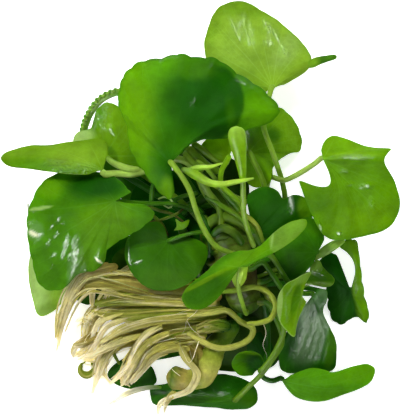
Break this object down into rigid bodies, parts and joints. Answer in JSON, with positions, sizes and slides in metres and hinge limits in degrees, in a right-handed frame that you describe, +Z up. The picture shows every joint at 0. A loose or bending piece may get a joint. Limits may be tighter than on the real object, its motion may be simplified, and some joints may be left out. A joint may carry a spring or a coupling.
{
  "type": "floating heart plant",
  "caption": "Bare-root floating heart, a water plant: glossy heart-shaped leaves on thin curved stalks from a stubby crown, with a skirt of fine pale roots, laid down.",
  "frame": {"origin": "middle of the footprint at table level: the centre of the bounding box's bottom face", "axes": "+Z up from the table; the crown lies near the middle, +Y points to the pale leaf farthest from the roots and the roots trail towards -X and -Y"},
  "size_m": [0.1802, 0.1911, 0.0648],
  "materials": {
    "leaf_fresh": "wet gloss",
    "leaf_mid": "wet gloss",
    "leaf_dark": "wet gloss",
    "leaf_deep": "wet gloss",
    "leaf_pale": "satin",
    "leaf_yellow": "satin",
    "stalk": "satin",
    "rhizome": "satin",
    "root": "matte"
  },
  "bodies": {
    "root": {"crown": "rhizome", "top_leaf": "leaf_pale", "front_leaf": "leaf_dark", "side_leaf": "leaf_mid", "shade_leaf": "leaf_mid", "tongue_leaf": "leaf_pale", "left_leaf": "leaf_fresh", "table_leaf_left": "leaf_pale", "table_leaf_behind": "leaf_deep", "disc_leaf": "leaf_deep", "spoon_leaf": "leaf_fresh", "right_leaf": "leaf_fresh", "notched_leaf": "leaf_deep", "dark_leaf_right": "leaf_deep", "under_leaf_left": "leaf_deep", "under_leaf_right": "leaf_deep", "small_leaf_right": "leaf_mid", "dark_leaf_middle": "leaf_deep", "curled_leaf": "leaf_pale", "hanging_leaf": "leaf_dark", "corner_leaf": "leaf_fresh", "bottom_leaf": "leaf_deep", "cup_leaf": "leaf_mid", "table_leaf_roots": "leaf_deep", "inner_leaf": "leaf_yellow", "sprout": "leaf_yellow", "top_leaf_stalk": "stalk", "front_leaf_stalk": "stalk", "side_leaf_stalk": "stalk", "shade_leaf_stalk": "stalk", "tongue_leaf_stalk": "stalk", "left_leaf_stalk": "stalk", "table_leaf_left_stalk": "stalk", "table_leaf_behind_stalk": "stalk", "disc_leaf_stalk": "stalk", "spoon_leaf_stalk": "stalk", "right_leaf_stalk": "stalk", "notched_leaf_stalk": "stalk", "dark_leaf_right_stalk": "stalk", "small_leaf_right_stalk": "stalk", "curled_leaf_stalk": "stalk", "hanging_leaf_stalk": "stalk", "corner_leaf_stalk": "stalk", "bottom_leaf_stalk": "stalk", "cup_leaf_stalk": "stalk", "table_leaf_roots_stalk": "stalk", "inner_leaf_stalk": "stalk", "bud": "leaf_yellow", "pale_lobe": "leaf_pale", "beaded_stem": "leaf_mid", "shoot": "leaf_yellow", "stolon_upper": "rhizome", "stolon_lower": "rhizome", "rhizome": "rhizome", "root_far": "root", "root_upper": "root", "root_middle": "root", "root_lower": "root", "root_white": "root", "root_grey": "root"}
  },
  "joints": []
}
